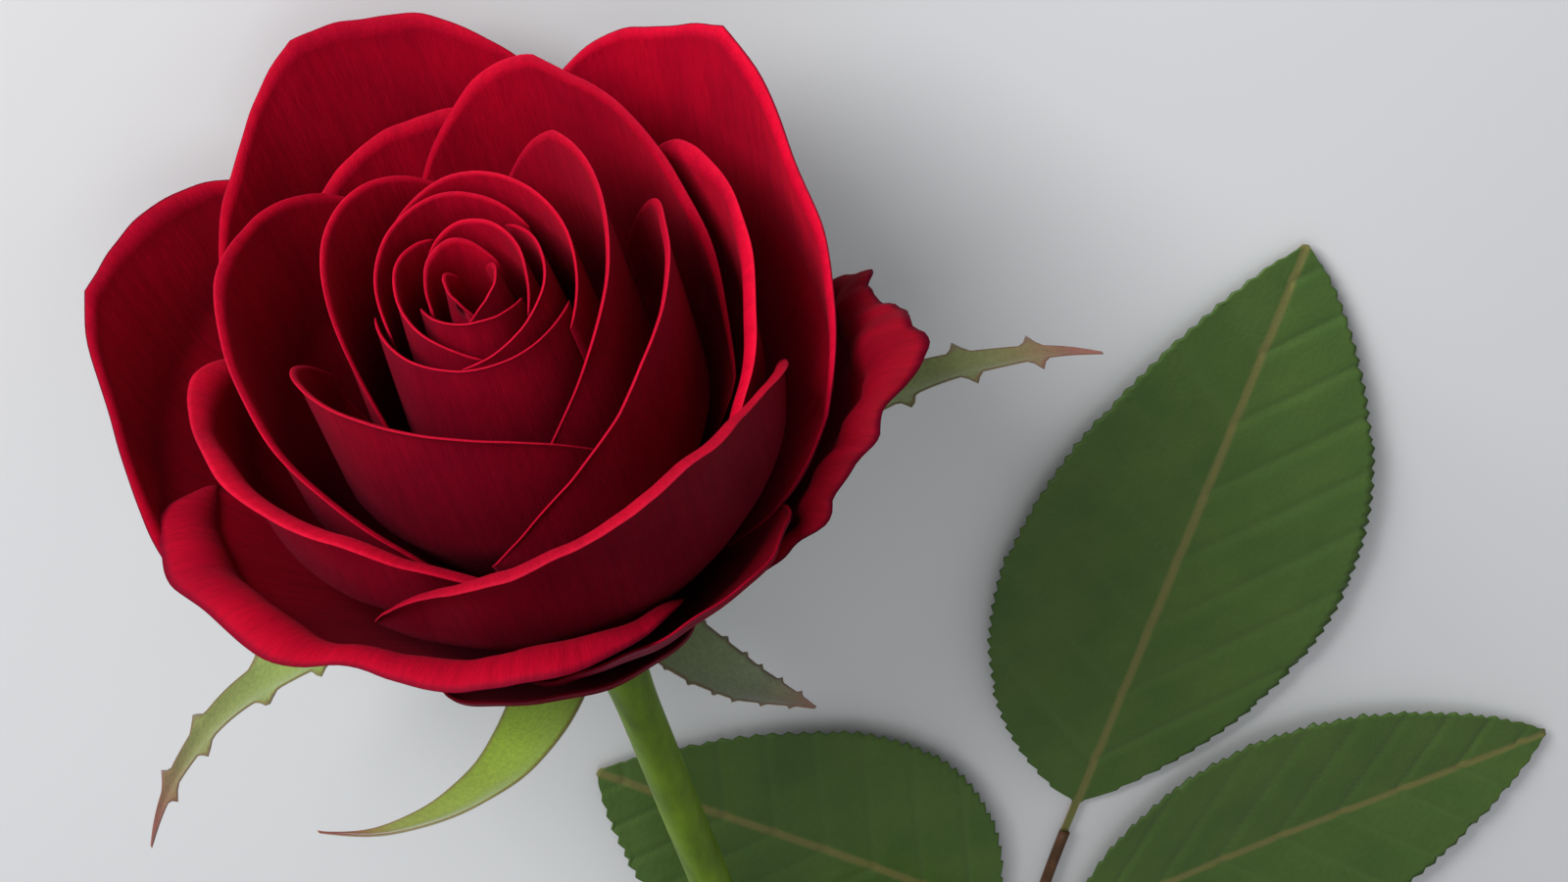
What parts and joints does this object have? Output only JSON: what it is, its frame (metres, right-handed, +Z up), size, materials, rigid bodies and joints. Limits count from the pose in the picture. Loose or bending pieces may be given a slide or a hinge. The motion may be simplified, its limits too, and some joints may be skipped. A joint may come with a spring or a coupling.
{
  "type": "cut rose",
  "caption": "Cut red rose lying on its side: a full bloom of layered petals with sepals, on a stem with a compound leaf.",
  "frame": {"origin": "centre of the bounding box's base, on the surface that the rose lies on", "axes": "+Z up; the bloom faces -Y and looks up a little; the stem runs towards +Y; the leaf lies on the -X side"},
  "size_m": [0.1776, 0.3264, 0.0826],
  "materials": {
    "petal": "deep red velvet, fine fibres running to the edge",
    "petal_outer": "darker red velvet, dull silvery purple on the back, dark edge",
    "sepal": "downy lime green, reddish brown at the tip",
    "receptacle": "smooth matt green",
    "stamens": "powdery yellow",
    "stem": "satin yellow-green",
    "leaf": "satin dark green, sunk side veins, brownish midrib",
    "leaf_stalk": "reddish brown"
  },
  "bodies": {
    "root": {"petal_heart_1": "petal", "petal_heart_2": "petal", "petal_heart_3": "petal", "petal_heart_4": "petal", "petal_heart_5": "petal", "petal_heart_6": "petal", "petal_heart_7": "petal", "petal_heart_8": "petal", "petal_heart_9": "petal", "petal_heart_10": "petal", "petal_inner_1": "petal", "petal_inner_2": "petal", "petal_inner_3": "petal", "petal_inner_4": "petal", "petal_middle_1": "petal", "petal_middle_2": "petal", "petal_middle_3": "petal", "petal_middle_4": "petal", "petal_middle_5": "petal", "petal_middle_6": "petal", "petal_outer_1": "petal_outer", "petal_outer_2": "petal_outer", "petal_outer_3": "petal_outer", "petal_outer_4": "petal_outer", "petal_outer_5": "petal_outer", "petal_outer_6": "petal_outer", "petal_outer_7": "petal_outer", "receptacle": "receptacle", "stamens": "stamens", "sepal_1": "sepal", "sepal_2": "sepal", "sepal_3": "sepal", "sepal_4": "sepal", "sepal_5": "sepal", "stem": "stem", "leaf_stalk": "leaf_stalk", "leaflet_end": "leaf", "leaflet_upper_left": "leaf", "leaflet_upper_right": "leaf", "leaflet_lower_left": "leaf", "leaflet_lower_right": "leaf"}
  },
  "joints": []
}
